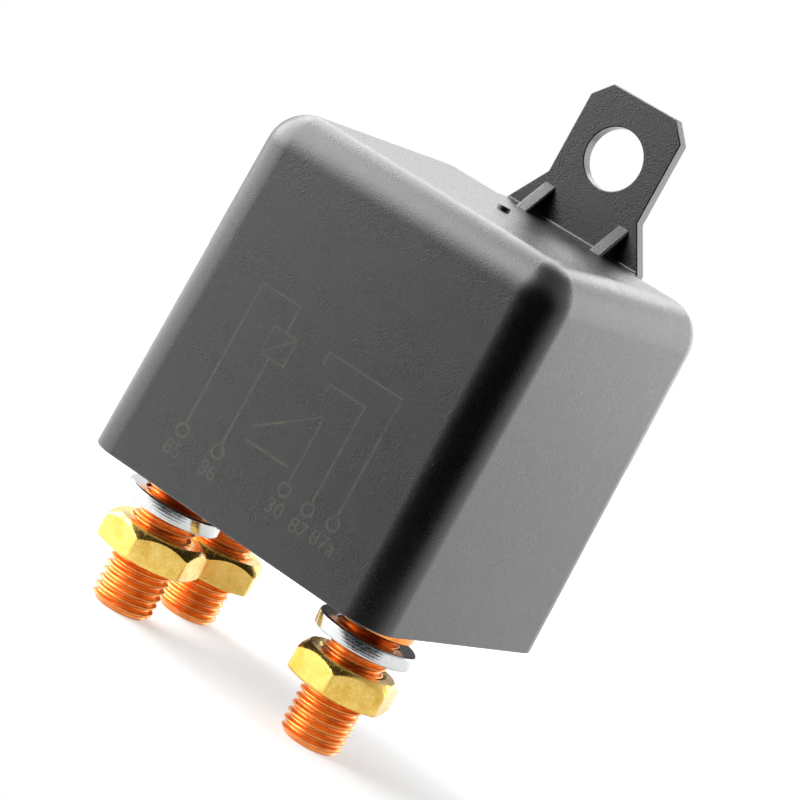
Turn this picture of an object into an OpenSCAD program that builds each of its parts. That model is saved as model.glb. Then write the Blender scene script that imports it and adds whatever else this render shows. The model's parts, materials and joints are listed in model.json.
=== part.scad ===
// Changeover relay: sealed square housing with a mounting tab, three screw studs and two coil blades.
// The studs point down and end at z = 0; the label side faces -Y and the tab stands at the back.

/* [Housing] */
// Width of the cover at its open end
body_w = 46; // [42:0.5:60]
// Depth of the cover at its open end
body_d = 44; // [42:0.5:58]
// Height of the cover, without the mounting tab
body_h = 46.4; // [38:0.2:60]
// Wall thickness of the cover
wall = 1.8; // [1.5:0.1:2.2]
// Radius of the upright corners
corner_r = 4.7; // [4:0.1:6]
// Radius along the top edges
top_r = 5; // [4:0.1:6]
// Draft of each side wall, in degrees
draft = 0.77; // [0.2:0.01:1]
// Diameter of the stub that the moulding's gate left on the roof
gate_d = 1.6; // [1:0.1:3]
// Height of the gate's stub
gate_h = 0.6; // [0.2:0.1:1]
// Distance of the gate's stub to the left of the roof's middle
gate_left = 0.6; // [0:0.1:5]
// Distance of the gate's stub behind the roof's middle
gate_back = 1.4; // [0:0.1:5]

/* [Mounting tab] */
// Width of the tab
tab_w = 14.1; // [12:0.1:18]
// Thickness of the tab
tab_t = 1.9; // [1.5:0.1:3]
// Height of the tab above the roof
tab_h = 18.7; // [16:0.1:24]
// Width of the bevel on each top corner
tab_bevel_w = 2.2; // [0.5:0.1:3]
// Height of the bevel on each top corner
tab_bevel_h = 2.4; // [0.5:0.1:3]
// Diameter of the fixing hole
hole_d = 8; // [5:0.1:9]
// Height of the hole's centre above the roof
hole_up = 10.7; // [8:0.1:14]
// How far each foot of the tab spreads
wing_w = 3.4; // [1:0.1:5]
// Height at which the spread begins
wing_h = 5.4; // [3:0.1:7]
// Thickness of each gusset
gusset_t = 1.8; // [1:0.1:3]
// Height of each gusset
gusset_h = 4.2; // [2:0.1:6]
// Reach of each gusset in front of the tab
gusset_l = 3.8; // [2:0.1:6]
// Distance from the tab's middle to a gusset's outer face
gusset_x = 6.75; // [5:0.05:7]
// Radius of the fillet at the tab's foot
foot_r = 0.3; // [0.2:0.1:1.5]

/* [Base] */
// Thickness of the base
base_t = 3.5; // [3:0.1:5]
// Gap between the base and the cover's mouth
base_gap = 0.1; // [0.05:0.01:0.2]
// Depth of the ledge that the base seats on
ledge = 0.3; // [0.2:0.05:0.5]
// Width of the sealing bead
seal_w = 0.8; // [0.6:0.1:0.9]
// Height of the sealing bead
seal_h = 0.8; // [0.4:0.1:1.5]
// Thickness of the barrier between the fixed contacts
barrier_t = 1.2; // [0.8:0.1:2]
// Height of the barrier above the base
barrier_h = 12; // [5:0.5:18]
// Gap between the barrier and the side of the cover
barrier_end = 1; // [0.5:0.1:2]
// Diameter of the two pegs that place the yoke
peg_d = 2.4; // [2:0.1:2.8]
// Distance of each peg from the yoke's edge
peg_in = 2; // [1.6:0.1:2.4]
// Radial clearance of the pegs, the studs and the blades in what they pass through
pass_gap = 0.05; // [0.03:0.01:0.1]

/* [Studs] */
// Diameter of the stud
stud_d = 8; // [6:0.1:9.8]
// Length of the stud below the base
stud_len = 18; // [16:0.1:24]
// Bevel at the stud's end
stud_bevel = 0.8; // [0.4:0.1:1.2]
// How much wider than the stud its collar is
collar_step = 1.2; // [0.8:0.1:1.6]
// Height of the collar
collar_h = 2; // [1.5:0.1:4]
// How much wider than the stud its inner flange is
flange_step = 0.4; // [0.3:0.05:0.5]
// Gap between a front stud's flange and the cover's mouth
front_gap = 1.3; // [1.1:0.1:2.5]
// Gap between the rear stud's flange and the cover's mouth
rear_gap = 0.6; // [0.6:0.1:1.5]
// Distance of every stud from the front or back of the cover
stud_in_y = 13.9; // [12:0.1:14.5]
// Thickness of the stud's inner flange
flange_t = 1.2; // [0.8:0.1:2]
// Diameter of the shank that holds the busbar
shank_d = 6; // [4:0.1:6.5]
// Height of the peened head above the busbar
peen_h = 1.2; // [0.8:0.1:2]
// How much wider than the shank the peened head is at its foot
peen_step = 0.9; // [0.5:0.1:1.2]
// How much wider than the shank the peened head is at its top
peen_top = 0.3; // [0:0.1:0.5]

/* [Nuts and washers] */
// Width of a nut across its flats
nut_af = 12; // [11.6:0.1:14]
// Height of a nut
nut_h = 4.2; // [3:0.1:5]
// Radius of a nut's bearing face
nut_face_r = 5.6; // [5.4:0.1:6]
// Angle of the nut's bevel on the side of the housing, in degrees
nut_bevel = 42; // [15:1:50]
// Angle of the nut's slighter bevel on its other side, in degrees
nut_under = 16; // [5:1:30]
// Radial clearance of a nut on its stud
nut_gap = 0.05; // [0.02:0.01:0.1]
// Chamfer at each end of a nut's bore
nut_chamfer = 0.4; // [0.2:0.1:0.6]
// Width of a washer's ring
ring_w = 2.27; // [1.8:0.01:2.6]
// Thickness of a washer
washer_t = 1.9; // [1.2:0.1:2.2]
// Radial clearance of a washer on its stud
washer_gap = 0.08; // [0.02:0.01:0.1]
// Width of the cut through a washer
split_w = 0.9; // [0.4:0.1:1.5]
// Slant of the cut, in degrees
split_slant = 25; // [0:1:35]
// Gap between a washer and the collar above it
seat_gap = 0.9; // [0.05:0.05:1.5]
// How far below the base the front right nut ends
nut_drop_fr = 11.1; // [9.2:0.1:12]
// How far below the base the front left nut ends
nut_drop_fl = 11.2; // [9.2:0.1:12]
// How far below the base the rear nut ends
nut_drop_rl = 12.2; // [9.2:0.1:13.5]
// Turn of the front right nut, in degrees
nut_turn_fr = 46; // [0:1:60]
// Turn of the front left nut, in degrees
nut_turn_fl = 42; // [0:1:60]
// Turn of the rear nut, in degrees
nut_turn_rl = 32; // [0:1:60]

/* [Coil blades] */
// Width of a blade
blade_w = 6.3; // [4.8:0.1:6.5]
// Thickness of a blade
blade_t = 0.8; // [0.5:0.1:1]
// Length of a blade below the base
blade_len = 8; // [6:0.1:9]
// Bevel on each corner of a blade's tip
blade_bevel = 1; // [0.5:0.1:1.5]
// Diameter of the hole in a blade
blade_hole_d = 1.65; // [1:0.05:2]
// Distance between the two blades
blade_pitch = 10; // [8:0.1:10.5]
// Middle of the pair of blades, to the left of the cover's middle
blade_shift = 0.25; // [0:0.05:1]
// Distance of the blades from the back of the cover
blade_in_y = 4.7; // [4:0.1:5]
// Height of a blade's solder post above the base
post_h = 6.5; // [4:0.1:8]
// Width of a blade's solder post
post_w = 2; // [1.5:0.1:3]
// Width of the shoulder on each side of a blade
shoulder_w = 0.6; // [0.3:0.1:1]
// Height of a blade's shoulders
shoulder_h = 1.2; // [0.8:0.1:2]

/* [Coil] */
// Diameter of the core
core_d = 7; // [5:0.1:7.5]
// How much the core narrows where the yoke's foot holds it
neck_step = 0.5; // [0.3:0.1:1]
// Diameter of the pole face
pole_d = 11; // [9:0.1:11.4]
// Height of the pole face above the bobbin
pole_h = 1.4; // [0.8:0.1:2]
// Height of the bobbin
bobbin_h = 26; // [18:0.5:26.5]
// Diameter of the bobbin's flanges
bobbin_d = 18; // [16:0.1:18.5]
// Thickness of the bobbin's flanges
bobbin_t = 1.2; // [0.8:0.1:2]
// Wall of the bobbin's tube
tube_t = 1; // [0.6:0.1:1.4]
// Radial clearance of the bobbin on the core
bobbin_gap = 0.05; // [0.02:0.01:0.1]
// Clearance of the winding in the bobbin
winding_gap = 0.05; // [0.02:0.01:0.1]
// How far the winding stays inside the flanges
winding_in = 0.7; // [0.3:0.1:1.5]
// Diameter of the winding wire's ends
wire_d = 0.5; // [0.3:0.1:0.8]
// Diameter of the solder on a post
solder_d = 1.6; // [1.2:0.1:1.9]
// Direction in which the wire to the right blade leaves the winding
right_lead = 105; // [95:1:115]
// Direction in which the wire to the left blade leaves the winding
left_lead = 150; // [140:1:160]
// Thickness of the yoke
yoke_t = 2; // [1.5:0.1:2.2]
// Width of the yoke
yoke_w = 14; // [10:0.5:15]
// How far the yoke's foot stays inside the bobbin's edge
foot_in = 1.5; // [0.5:0.1:2]
// Inner radius of the yoke's fold
fold_r = 0.4; // [0.2:0.1:0.5]
// Gap between the bobbin and the yoke's leg
leg_gap = 0.5; // [0.3:0.1:1]
// Gap between the yoke's leg and the cover's mouth
leg_in = 5; // [4:0.1:6]
// Gap between the bobbin and the coil blades
blade_gap = 2.6; // [1.5:0.1:3.5]

/* [Armature] */
// How far the armature stands open at rest, in degrees
open_deg = 4.2; // [3:0.1:5]
// Thickness of the armature
arm_t = 2; // [1.5:0.1:2.5]
// Width of the armature
arm_w = 12; // [8:0.5:13]
// Length of the carrier on the armature, beside the pole
carrier_lap = 3.7; // [3.4:0.1:4.5]
// Gap left between the armature and the pole when closed
stop_gap = 0.05; // [0.02:0.01:0.1]
// Thickness of the insulating carrier
carrier_t = 2.5; // [2:0.1:3]
// Width of the insulating carrier
carrier_w = 10; // [8:0.5:10]
// How far the carrier stays back from the edge of the contact blade's root
carrier_in = 0.5; // [0.3:0.1:1]
// Insulating gap between the armature and the contact blade
arm_gap = 0.7; // [0.5:0.1:1]
// Thickness of the contact blade
leaf_t = 0.6; // [0.4:0.1:0.8]
// Width of the contact blade at its tip
leaf_w = 6; // [5:0.1:7]
// Diameter of the rivets
rivet_d = 1.8; // [1.4:0.1:2]
// Diameter of a rivet's head
rivet_head_d = 3; // [2.4:0.1:3.1]
// Radial clearance of rivets and contact shanks in their holes
rivet_gap = 0.02; // [0.01:0.01:0.04]
// Height of a rivet's head
rivet_h = 0.6; // [0.4:0.1:0.8]
// Thickness of the return spring
spring_t = 0.3; // [0.2:0.05:0.4]
// Width of the return spring
spring_w = 8; // [5:0.5:10]
// Length of the spring's leg on the yoke
spring_leg = 11; // [8:0.5:14]
// Length of the spring's arm on the armature
spring_arm = 5.5; // [5:0.5:8]
// Gap between the spring and what it is riveted to
spring_gap = 0.05; // [0.02:0.01:0.08]
// Distance of the spring's rivet from the pivot
spring_rivet_in = 3.2; // [3:0.1:3.4]
// Distance of the yoke's rivets from the spring's lower end
yoke_rivet_in = 3; // [2:0.1:4]

/* [Contacts] */
// Distance of the contacts from the open contact's stud, towards the middle
contact_in = 3; // [2:0.1:4]
// Diameter of a contact's face
contact_d = 4.5; // [3.5:0.1:5]
// Height of a contact's face above its carrier
contact_h = 1.1; // [0.8:0.1:1.5]
// Diameter of a contact's shank
contact_shank_d = 2.4; // [1.8:0.1:2.6]
// Radius of the domed face of a fixed contact
dome_r = 6; // [5:0.5:12]
// Height of the clinch behind a fixed contact
clinch_h = 0.5; // [0.3:0.1:0.8]
// How much wider than the shank the clinch is
clinch_step = 0.5; // [0.3:0.1:0.8]
// Gap that is left where two contacts meet
touch_gap = 0.1; // [0.05:0.01:0.15]
// Thickness of the busbars
bus_t = 1.5; // [1:0.1:1.8]
// Width of the busbars
bus_w = 7; // [6:0.1:7.4]
// Inner radius of a busbar's bends
bend_r = 0.8; // [0.4:0.1:1.2]
// How far the flange under or over a fixed contact runs past its middle
flange_past = 3; // [2.5:0.1:3.5]
// Gap between the open contact's upright and the barrier
open_gap = 0.8; // [0.5:0.1:1.5]
// Gap between the closed contact's upright and its stud's ring
closed_gap = 0.5; // [0.3:0.1:1]
// How far the foot of the closed contact's busbar runs past its stud's middle
foot_past = 2; // [1:0.1:3]
// Thickness of the braid
braid_t = 1.4; // [0.8:0.1:1.8]
// Width of the braid
braid_w = 4.5; // [3:0.1:5]
// Length of the braid that is welded to the common busbar
braid_weld = 5; // [3:0.1:8]
// Distance of the braid's last bend from the carrier's end of the contact blade
braid_in = 0.8; // [0.5:0.1:1.5]
// Gap between the braid's lug and the bobbin
lug_gap = 0.5; // [0.3:0.1:1]
// Height of the common busbar above the base
common_h = 20; // [12:0.5:21]

/* [Hidden] */
$fn = 64;
hull_fn = 32;
tiny = 0.01;

// How far a cutting solid runs past the face that it cuts
cut = 1;

// Levels, counted up from the ends of the studs
base_z = stud_len;
base_top = base_z + base_t;
roof_z = base_z + body_h;
bus_z = base_top + flange_t;
foot_z = base_top + yoke_t;
bobbin_top = foot_z + bobbin_h;
pole_z = bobbin_top + pole_h;

// Inside of the cover at its mouth and above the base
mouth_x = body_w / 2 - wall;
mouth_y = body_d / 2 - wall;
mouth_r = corner_r - wall;
lean = tan(draft);
top_in = (body_h - top_r) * lean;

// Places of the studs; each busbar's ring is as wide as its stud's flange
eye_r = stud_d / 2 + flange_step;
common_at = [mouth_x - front_gap - eye_r, -(body_d / 2 - stud_in_y)];
open_at = [-common_at[0], common_at[1]];
closed_at = [-(mouth_x - rear_gap - eye_r), body_d / 2 - stud_in_y];

// Places of the coil and its blades
blade_y = body_d / 2 - blade_in_y;
blade_left_x = -blade_shift - blade_pitch / 2;
blade_right_x = -blade_shift + blade_pitch / 2;
leg_x = mouth_x - leg_in - yoke_t;
coil_x = leg_x - leg_gap - bobbin_d / 2;
coil_y = blade_y - blade_t / 2 - blade_gap - bobbin_d / 2;
winding_r = bobbin_d / 2 - winding_in;
winding_z = foot_z + bobbin_t;
winding_h = bobbin_h - 2 * bobbin_t;

// The armature rocks on the top of the yoke's leg; its pieces are drawn closed and then swung open
pivot_x = leg_x + yoke_t / 2;
pivot_z = pole_z;
leg_top = pivot_z - stop_gap;
arm_z = pole_z + stop_gap;
arm_end = coil_x - pole_d / 2 - carrier_lap;
leaf_z = arm_z + arm_t - leaf_t;
leaf_start = arm_end - arm_gap;
contact_x = open_at[0] + contact_in;
barrier_y = (open_at[1] + closed_at[1]) / 2;
contact_y = barrier_y + leaf_w / 2;
leaf_root = contact_x + bus_w / 2;
carrier_x = (leaf_root + leaf_start) / 2;
lug_y = coil_y - bobbin_d / 2 - lug_gap - braid_w;
rivet_dy = arm_w / 4;
rivet_hole_d = rivet_d + 2 * rivet_gap;
shank_hole_d = contact_shank_d + 2 * rivet_gap;
carrier_rivet_x = arm_end + carrier_lap / 2;
yoke_rivet_z = leg_top - spring_leg + yoke_rivet_in;
moving_low = leaf_z - contact_h;
moving_high = leaf_z + leaf_t + contact_h;

// Where the upper moving face stands when the armature is open
swing = contact_x - pivot_x;
rise = moving_high - pivot_z;
open_x = pivot_x + swing * cos(open_deg) + rise * sin(open_deg);
open_z = pivot_z - swing * sin(open_deg) + rise * cos(open_deg);
closed_face_z = open_z + touch_gap;
closed_bus_z = closed_face_z + contact_h;
open_face_z = moving_low - touch_gap / 2;
open_bus_z = open_face_z - contact_h;

// Riser of the common busbar, and the path of the braid from it to the contact blade
riser_x = coil_x - bus_t;
function under_lug(x) =
    pivot_z + (pivot_x - x) * tan(open_deg) + (leaf_z - pivot_z) / cos(open_deg) - touch_gap / 2;
braid_from = [riser_x - braid_t / 2, base_top + common_h];
bend_x = leaf_start - braid_in;
braid_to = [bend_x, under_lug(bend_x) - braid_t / 2];
braid_end = [leaf_root, under_lug(leaf_root) - braid_t / 2];
braid_pull = 8;
function bezier(a, b, c, d, t) =
    a * pow(1 - t, 3) + 3 * b * pow(1 - t, 2) * t + 3 * c * (1 - t) * t * t + d * t * t * t;
braid_steps = 12;
braid_low = braid_from - [0, braid_weld];
braid_path = concat(
    [braid_low],
    [for (i = [0:braid_steps]) bezier(
        braid_from,
        braid_from + [0, braid_pull],
        braid_to + [cos(open_deg), -sin(open_deg)] * braid_pull,
        braid_to,
        i / braid_steps)],
    [braid_end]
);

// A flat strip that follows a path in a plane
function heading(p, i) =
    let (a = p[max(i - 1, 0)], b = p[min(i + 1, len(p) - 1)], d = b - a) d / norm(d);
function beside(p, i, off) = p[i] + off * [-heading(p, i)[1], heading(p, i)[0]];
module strip_outline(path, t) {
    n = len(path) - 1;
    polygon(concat(
        [for (i = [0:n]) beside(path, i, t / 2)],
        [for (i = [n:-1:0]) beside(path, i, -t / 2)]
    ));
}

// Rectangle with round corners, about the origin
module round_rect(x, y, r) {
    square([2 * x, 2 * (y - r)], center = true);
    square([2 * (x - r), 2 * y], center = true);
    for (sx = [-1, 1], sy = [-1, 1]) translate([sx * (x - r), sy * (y - r)]) circle(r);
}

// Quarter bend of a sheet of thickness t, turning from +X to +Y round the origin
module quarter_bend(r, t) {
    intersection() {
        difference() {
            circle(r + t);
            circle(r);
        }
        square(r + t + cut);
    }
}

// Shape that lies in the XZ plane, given width w along Y about y = 0
module across_y(w) {
    rotate([90, 0, 0]) translate([0, 0, -w / 2]) linear_extrude(w) children();
}

// Everything on the armature, swung from closed to open
module swung() {
    translate([pivot_x, 0, pivot_z]) rotate([0, open_deg, 0]) translate([-pivot_x, 0, -pivot_z])
        children();
}

module rivet(z1, z2) {
    translate([0, 0, z1]) cylinder(h = z2 - z1, d = rivet_d);
    for (z = [z1 - rivet_h, z2]) translate([0, 0, z]) cylinder(h = rivet_h, d = rivet_head_d);
}

// Outer form of the cover: four upright corners drawn in by the draft to a rounded roof
module drafted_box(x, y, z, r_low, r_top) {
    hull() {
        for (sx = [-1, 1], sy = [-1, 1]) {
            translate([sx * (x - r_low), sy * (y - r_low), z])
                cylinder(h = tiny, r = r_low, $fn = hull_fn);
            translate([sx * (body_w / 2 - top_in - top_r), sy * (body_d / 2 - top_in - top_r), roof_z - top_r])
                sphere(r_top, $fn = hull_fn);
        }
    }
}

tab_back = body_d / 2 - body_h * lean;
tab_front = tab_back - tab_t;
tab_top = roof_z + tab_h;

// Front view of the tab: bevelled top, straight sides and a spread foot sunk into the back wall
module tab_outline() {
    half = tab_w / 2;
    polygon([
        [-half - wing_w, roof_z - top_r], [-half - wing_w, roof_z],
        [-half, roof_z + wing_h], [-half, tab_top - tab_bevel_h], [-half + tab_bevel_w, tab_top],
        [half - tab_bevel_w, tab_top], [half, tab_top - tab_bevel_h], [half, roof_z + wing_h],
        [half + wing_w, roof_z], [half + wing_w, roof_z - top_r]
    ]);
}

module tab_gusset() {
    rotate([90, 0, 90]) linear_extrude(gusset_t) polygon([
        [tab_front + tiny, roof_z - wall / 2], [tab_front + tiny, roof_z + gusset_h],
        [tab_front - gusset_l, roof_z], [tab_front - gusset_l, roof_z - wall / 2]
    ]);
}

// Flat land and concave fillet where the roof runs into the tab
module tab_foot() {
    half = tab_w / 2 + wing_w;
    flat_end = body_d / 2 - top_in - top_r;
    land_t = wall - ledge;
    rotate([90, 0, 90]) translate([0, 0, -half]) linear_extrude(2 * half)
        translate([flat_end, roof_z - land_t]) square([tab_front + tiny - flat_end, land_t]);
    rotate([90, 0, 90]) translate([0, 0, foot_r - half]) linear_extrude(2 * (half - foot_r)) difference() {
        translate([tab_front - foot_r, roof_z - tiny]) square([foot_r + tiny, foot_r + tiny]);
        translate([tab_front - foot_r, roof_z + foot_r]) circle(foot_r);
    }
}

module cover() {
    color("#3b3c3e") difference() {
        union() {
            drafted_box(body_w / 2, body_d / 2, base_z, corner_r, top_r);
            translate([0, tab_back, 0]) rotate([90, 0, 0]) linear_extrude(tab_t) tab_outline();
            translate([gusset_x - gusset_t, 0, 0]) tab_gusset();
            translate([-gusset_x, 0, 0]) tab_gusset();
            tab_foot();
            translate([-gate_left, gate_back, roof_z - wall / 2]) cylinder(h = gate_h + wall / 2, d = gate_d);
        }
        drafted_box(mouth_x - ledge, mouth_y - ledge, base_top, mouth_r - ledge, top_r - wall);
        translate([0, 0, base_z - cut]) linear_extrude(base_t + cut) round_rect(mouth_x, mouth_y, mouth_r);
        translate([0, tab_back + cut, roof_z + hole_up]) rotate([90, 0, 0])
            cylinder(h = tab_t + 2 * cut, d = hole_d);
    }
}

module base() {
    color("#2b2c2e") {
        difference() {
            translate([0, 0, base_z]) linear_extrude(base_t)
                round_rect(mouth_x - base_gap, mouth_y - base_gap, mouth_r - base_gap);
            seal_ring(seal_h);
            for (p = [common_at, open_at, closed_at]) translate([p[0], p[1], base_z - cut])
                cylinder(h = base_t + 2 * cut, d = stud_d + 2 * pass_gap);
            for (x = [blade_left_x, blade_right_x]) translate([x, blade_y, base_z])
                cube([blade_w + 2 * pass_gap, blade_t + 2 * pass_gap, 3 * base_t], center = true);
        }
        barrier();
        for (s = [-1, 1]) translate([coil_x, coil_y + s * (yoke_w / 2 - peg_in), base_top - tiny])
            cylinder(h = yoke_t, d = peg_d);
    }
}

// Wall on the base that keeps the two fixed contacts apart
module barrier() {
    from_x = -mouth_x + ledge + barrier_end;
    translate([from_x, barrier_y - barrier_t / 2, base_top - tiny])
        cube([leaf_root - from_x, barrier_t, barrier_h]);
}

module seal_ring(h) {
    translate([0, 0, base_z - tiny]) linear_extrude(h + tiny) difference() {
        round_rect(mouth_x - base_gap, mouth_y - base_gap, mouth_r - base_gap);
        round_rect(mouth_x - seal_w, mouth_y - seal_w, mouth_r - seal_w);
    }
}

// Bead of resin that fills the groove between the base and the cover
module base_seal() {
    color("#4a4038") translate([0, 0, base_z]) linear_extrude(seal_h) difference() {
        round_rect(mouth_x, mouth_y, mouth_r);
        round_rect(mouth_x - seal_w, mouth_y - seal_w, mouth_r - seal_w);
    }
}

// Copper stud, turned in one piece: bevelled end, thread, collar, neck, flange, shank and peened head
module stud(at) {
    r = stud_d / 2;
    shank_r = shank_d / 2;
    peen_z = bus_z + bus_t;
    color("#d9804a") translate([at[0], at[1], 0]) rotate_extrude() polygon([
        [0, 0], [r - stud_bevel, 0], [r, stud_bevel],
        [r, base_z - collar_h], [r + collar_step, base_z - collar_h], [r + collar_step, base_z],
        [r, base_z], [r, base_top], [eye_r, base_top], [eye_r, bus_z],
        [shank_r, bus_z], [shank_r, peen_z], [shank_r + peen_step, peen_z],
        [shank_r + peen_top, peen_z + peen_h], [0, peen_z + peen_h]
    ]);
}

module stud_common() stud(common_at);
module stud_open() stud(open_at);
module stud_closed() stud(closed_at);

washer_r = stud_d / 2 + washer_gap;
washer_top = base_z - collar_h - seat_gap;

// Spring washer: a square-section ring with one slanting cut, turned to the back
module washer(at) {
    color("#c9cbcd") translate([at[0], at[1], washer_top - washer_t]) difference() {
        cylinder(h = washer_t, r = washer_r + ring_w);
        translate([0, 0, -cut]) cylinder(h = washer_t + 2 * cut, r = washer_r);
        translate([0, washer_r + ring_w / 2, washer_t / 2]) rotate([0, split_slant, 0])
            cube([split_w, ring_w + 2 * cut, 3 * washer_t], center = true);
    }
}

module washer_common() washer(common_at);
module washer_open() washer(open_at);
module washer_closed() washer(closed_at);

// Thin hexagon nut, bevelled deeply on the side that faces the housing and slightly on the other
module nut(at, drop, turn) {
    r = stud_d / 2 + nut_gap;
    tip_r = nut_af / 2 / cos(30);
    run = tip_r + tiny - nut_face_r;
    color("#d8b24c") translate([at[0], at[1], base_z - drop]) difference() {
        intersection() {
            rotate(turn) cylinder(h = nut_h, r = tip_r, $fn = 6);
            rotate_extrude() polygon([
                [0, 0], [nut_face_r, 0], [nut_face_r + run, run * tan(nut_under)],
                [nut_face_r + run, nut_h - run * tan(nut_bevel)],
                [nut_face_r, nut_h], [0, nut_h]
            ]);
        }
        translate([0, 0, -cut]) cylinder(h = nut_h + 2 * cut, r = r);
        translate([0, 0, nut_h - nut_chamfer])
            cylinder(h = nut_chamfer + tiny, r1 = r, r2 = r + nut_chamfer + tiny);
        translate([0, 0, -tiny]) cylinder(h = nut_chamfer + tiny, r1 = r + nut_chamfer + tiny, r2 = r);
    }
}

module nut_common() nut(common_at, nut_drop_fr, nut_turn_fr);
module nut_open() nut(open_at, nut_drop_fl, nut_turn_fl);
module nut_closed() nut(closed_at, nut_drop_rl, nut_turn_rl);

// Stamped blade: bevelled tip with a hole, shoulders that stop on the base, and a solder post
module coil_blade(x) {
    half = blade_w / 2;
    tip = base_z - blade_len;
    color("#c8c4b4") translate([x, blade_y, 0]) across_y(blade_t) difference() {
        union() {
            polygon([
                [-half + blade_bevel, tip], [half - blade_bevel, tip], [half, tip + blade_bevel],
                [half, base_top], [-half, base_top], [-half, tip + blade_bevel]
            ]);
            translate([-half - shoulder_w, base_top]) square([blade_w + 2 * shoulder_w, shoulder_h]);
            translate([-post_w / 2, base_top]) square([post_w, post_h]);
        }
        translate([0, tip + blade_len / 2]) circle(d = blade_hole_d);
    }
}

module coil_blade_left() coil_blade(blade_left_x);
module coil_blade_right() coil_blade(blade_right_x);

// Side view of the yoke: its foot, the outer curve of the bend and its leg
module yoke_side(foot_x) {
    translate([foot_x, base_top]) square([leg_x - fold_r - foot_x, yoke_t]);
    translate([leg_x, foot_z + fold_r]) square([yoke_t, leg_top - foot_z - fold_r]);
    translate([leg_x - fold_r, foot_z + fold_r]) rotate(-90) quarter_bend(fold_r, yoke_t);
}

// Folded iron frame: a foot under the coil and a leg beside it
module yoke() {
    foot_x = coil_x - bobbin_d / 2 + foot_in;
    color("#9a9c9e") difference() {
        translate([0, coil_y + yoke_w / 2, 0]) rotate([90, 0, 0]) linear_extrude(yoke_w) yoke_side(foot_x);
        translate([coil_x, coil_y, base_top - cut])
            cylinder(h = yoke_t + 2 * cut, d = core_d - 2 * neck_step);
        for (s = [-1, 1]) {
            translate([coil_x, coil_y + s * (yoke_w / 2 - peg_in), base_top - cut])
                cylinder(h = yoke_t + 2 * cut, d = peg_d + 2 * pass_gap);
            translate([leg_x - cut, coil_y + s * spring_w / 4, yoke_rivet_z]) rotate([0, 90, 0])
                cylinder(h = yoke_t + 2 * cut, d = rivet_hole_d);
        }
    }
}

module core() {
    neck_r = core_d / 2 - neck_step - rivet_gap;
    color("#a7a9ab") translate([coil_x, coil_y, 0]) rotate_extrude() polygon([
        [0, base_top], [neck_r, base_top], [neck_r, foot_z], [core_d / 2, foot_z],
        [core_d / 2, bobbin_top], [pole_d / 2, bobbin_top], [pole_d / 2, pole_z], [0, pole_z]
    ]);
}

module bobbin() {
    inner = core_d / 2 + bobbin_gap;
    outer = inner + tube_t;
    color("#e3ddcf") translate([coil_x, coil_y, foot_z]) rotate_extrude() polygon([
        [inner, 0], [bobbin_d / 2, 0], [bobbin_d / 2, bobbin_t], [outer, bobbin_t],
        [outer, bobbin_h - bobbin_t], [bobbin_d / 2, bobbin_h - bobbin_t],
        [bobbin_d / 2, bobbin_h], [inner, bobbin_h]
    ]);
}

module winding() {
    inner = core_d / 2 + bobbin_gap + tube_t + winding_gap;
    color("#b5652f") translate([coil_x, coil_y, winding_z + winding_gap]) difference() {
        cylinder(h = winding_h - 2 * winding_gap, r = winding_r);
        translate([0, 0, -cut]) cylinder(h = winding_h + 2 * cut, r = inner);
    }
}

// One end of the winding's wire, from the side of the winding to a dome of solder on a post
module coil_lead(x, turn) {
    z = base_top + post_h - solder_d / 2;
    from = [coil_x + winding_r * cos(turn), coil_y + winding_r * sin(turn), z];
    to = [x, blade_y - blade_t / 2, z];
    v = to - from;
    difference() {
        union() {
            translate(from - v / norm(v)) rotate([0, 90, atan2(v[1], v[0])])
                cylinder(h = norm(v) + 1, d = wire_d, $fn = 24);
            translate(to) sphere(d = solder_d, $fn = 24);
        }
        translate([x - solder_d, to[1], z - solder_d]) cube(2 * solder_d);
        translate([coil_x, coil_y, winding_z]) cylinder(h = winding_h, r = winding_r + rivet_gap);
    }
}

module coil_leads() {
    color("#c4713a") {
        coil_lead(blade_right_x, right_lead);
        coil_lead(blade_left_x, left_lead);
    }
}

module armature() {
    color("#8f9193") swung() translate([0, coil_y, arm_z]) linear_extrude(arm_t) difference() {
        translate([arm_end, -arm_w / 2]) square([pivot_x - arm_end, arm_w]);
        for (s = [-1, 1]) translate([carrier_rivet_x, s * rivet_dy]) circle(d = rivet_hole_d);
        translate([pivot_x - spring_rivet_in, 0]) circle(d = rivet_hole_d);
    }
}

// Moulded insulator that carries the contact blade on the end of the armature
module contact_carrier() {
    x1 = leaf_root + carrier_in;
    x2 = arm_end + carrier_lap;
    color("#e8e2d0") swung() translate([0, coil_y, arm_z + arm_t]) linear_extrude(carrier_t) difference() {
        translate([x1, -carrier_w / 2]) square([x2 - x1, carrier_w]);
        for (x = [carrier_rivet_x, carrier_x], s = [-1, 1]) translate([x, s * rivet_dy])
            circle(d = rivet_hole_d);
    }
}

module armature_rivets() {
    color("#c0c2c4") swung() for (s = [-1, 1])
        translate([carrier_rivet_x, coil_y + s * rivet_dy, 0]) rivet(arm_z, arm_z + arm_t + carrier_t);
}

module blade_rivets() {
    color("#c0c2c4") swung() for (s = [-1, 1])
        translate([carrier_x, coil_y + s * rivet_dy, 0]) rivet(leaf_z, arm_z + arm_t + carrier_t);
}

// Contact blade: a wide root under the carrier, a lug for the braid and a narrow round-ended tip
module contact_blade() {
    back = coil_y + carrier_w / 2;
    color("#c98a4e") swung() translate([0, 0, leaf_z]) linear_extrude(leaf_t) difference() {
        union() {
            translate([leaf_root, lug_y]) square([leaf_start - leaf_root, back - lug_y]);
            translate([contact_x, contact_y - leaf_w / 2]) square([leaf_start - contact_x, leaf_w]);
            translate([contact_x, contact_y]) circle(d = leaf_w);
        }
        translate([contact_x, contact_y]) circle(d = shank_hole_d);
        for (s = [-1, 1]) translate([carrier_x, coil_y + s * rivet_dy]) circle(d = rivet_hole_d);
    }
}

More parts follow.
